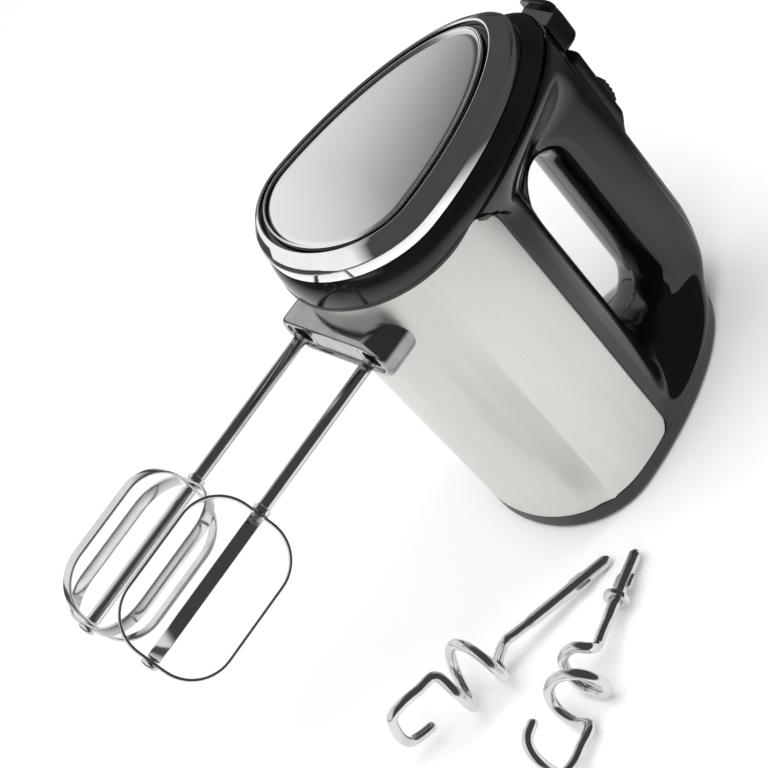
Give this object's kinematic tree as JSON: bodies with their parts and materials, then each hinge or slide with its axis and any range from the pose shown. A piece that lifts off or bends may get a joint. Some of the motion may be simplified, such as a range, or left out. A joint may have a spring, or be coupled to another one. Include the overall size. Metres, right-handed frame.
{
  "type": "hand mixer",
  "caption": "Electric hand mixer standing on its heel, with whisking beaters fitted and spiral dough hooks lying beside it; motor, worm drive, ejector and speed slider inside.",
  "frame": {"origin": "centre of the flat heel face that the mixer stands on", "axes": "+Z from the heel up to the front plate, +X from the handle to the beater tips, +Y to the left-hand side of the mixer when it is held in use"},
  "size_m": [0.3111, 0.1579, 0.1888],
  "materials": {
    "gloss_black": "polished moulding",
    "satin_black": "fine moulded grain",
    "brushed_steel": "brushed along the body",
    "machined_steel": "turned",
    "chrome": "mirror bright",
    "satin_aluminium": "satin anodised",
    "laminated_iron": "stamped laminations",
    "copper": "enamelled winding wire and copper bars",
    "bearing_bronze": "sintered",
    "carbon": "pressed graphite",
    "white_nylon": "moulded",
    "green_laminate": "circuit board",
    "black_rubber": "soft, matt"
  },
  "bodies": {
    "mixer_body": {"front_plate": "satin_aluminium", "chrome_ring": "chrome", "plate_carrier": "satin_black", "front_bezel": "gloss_black", "left_housing": "gloss_black", "right_housing": "gloss_black", "steel_shell": "brushed_steel", "handle_top_cover": "gloss_black", "heel_cover": "satin_black", "heel_screw_1": "machined_steel", "heel_screw_2": "machined_steel", "heel_screw_3": "machined_steel", "heel_screw_4": "machined_steel", "cord_grommet": "black_rubber", "socket_collar": "gloss_black", "stator_core": "laminated_iron", "field_coil_left": "copper", "field_coil_right": "copper", "carbon_brush_left": "carbon", "carbon_brush_right": "carbon", "rear_bush": "bearing_bronze", "front_bush": "bearing_bronze", "rear_bracket": "satin_aluminium", "gear_carrier": "satin_aluminium", "speed_switch": "satin_black", "control_board": "green_laminate", "eject_spring": "machined_steel"},
    "armature": {"motor_shaft": "machined_steel", "armature_core": "laminated_iron", "commutator": "copper", "cooling_fan": "white_nylon"},
    "left_drive": {"left_worm_wheel": "white_nylon", "left_spindle": "machined_steel"},
    "right_drive": {"right_worm_wheel": "white_nylon", "right_spindle": "machined_steel"},
    "left_beater": {"left_beater_rod": "chrome", "left_beater_outer_loop": "chrome", "left_beater_inner_loop": "chrome"},
    "right_beater": {"right_beater_rod": "chrome", "right_beater_outer_loop": "chrome", "right_beater_inner_loop": "chrome"},
    "ejector": {"eject_button": "gloss_black", "ejector_yoke": "white_nylon"},
    "speed_slider": {"speed_slider": "gloss_black"},
    "left_hook": {"left_dough_hook": "chrome"},
    "right_hook": {"right_dough_hook": "chrome", "right_hook_collar": "chrome"}
  },
  "joints": [
    {"name": "armature_spin", "type": "hinge", "parent": "mixer_body", "child": "armature", "pos_m": [0.016, 0, 0.1], "axis": [0, 0, 1], "continuous": true},
    {"name": "left_spindle_spin", "type": "hinge", "parent": "mixer_body", "child": "left_drive", "pos_m": [0, 0.022, 0.141], "axis": [1, 0, 0], "continuous": true},
    {"name": "right_spindle_spin", "type": "hinge", "parent": "mixer_body", "child": "right_drive", "pos_m": [0, -0.022, 0.141], "axis": [1, 0, 0], "continuous": true},
    {"name": "left_beater_eject", "type": "slide", "parent": "left_drive", "child": "left_beater", "axis": [1, 0, 0], "range_m": [0, 0.03]},
    {"name": "right_beater_eject", "type": "slide", "parent": "right_drive", "child": "right_beater", "axis": [1, 0, 0], "range_m": [0, 0.03]},
    {"name": "eject_press", "type": "slide", "parent": "mixer_body", "child": "ejector", "axis": [1, 0, 0], "range_m": [0, 0.005], "stiffness_N_per_m": 400, "deforming": ["eject_spring"]},
    {"name": "speed_slide", "type": "slide", "parent": "mixer_body", "child": "speed_slider", "axis": [0, 0, 1], "range_m": [0, 0.014]},
    {"name": "left_hook_lift", "type": "slide", "parent": "mixer_body", "child": "left_hook", "axis": [0, 0, 1], "range_m": [0, 0.07]},
    {"name": "right_hook_lift", "type": "slide", "parent": "mixer_body", "child": "right_hook", "axis": [0, 0, 1], "range_m": [0, 0.07]}
  ],
  "couplings": [
    {"joint": "left_spindle_spin", "follows": "armature_spin", "ratio": -0.028571},
    {"joint": "right_spindle_spin", "follows": "armature_spin", "ratio": 0.028571}
  ]
}
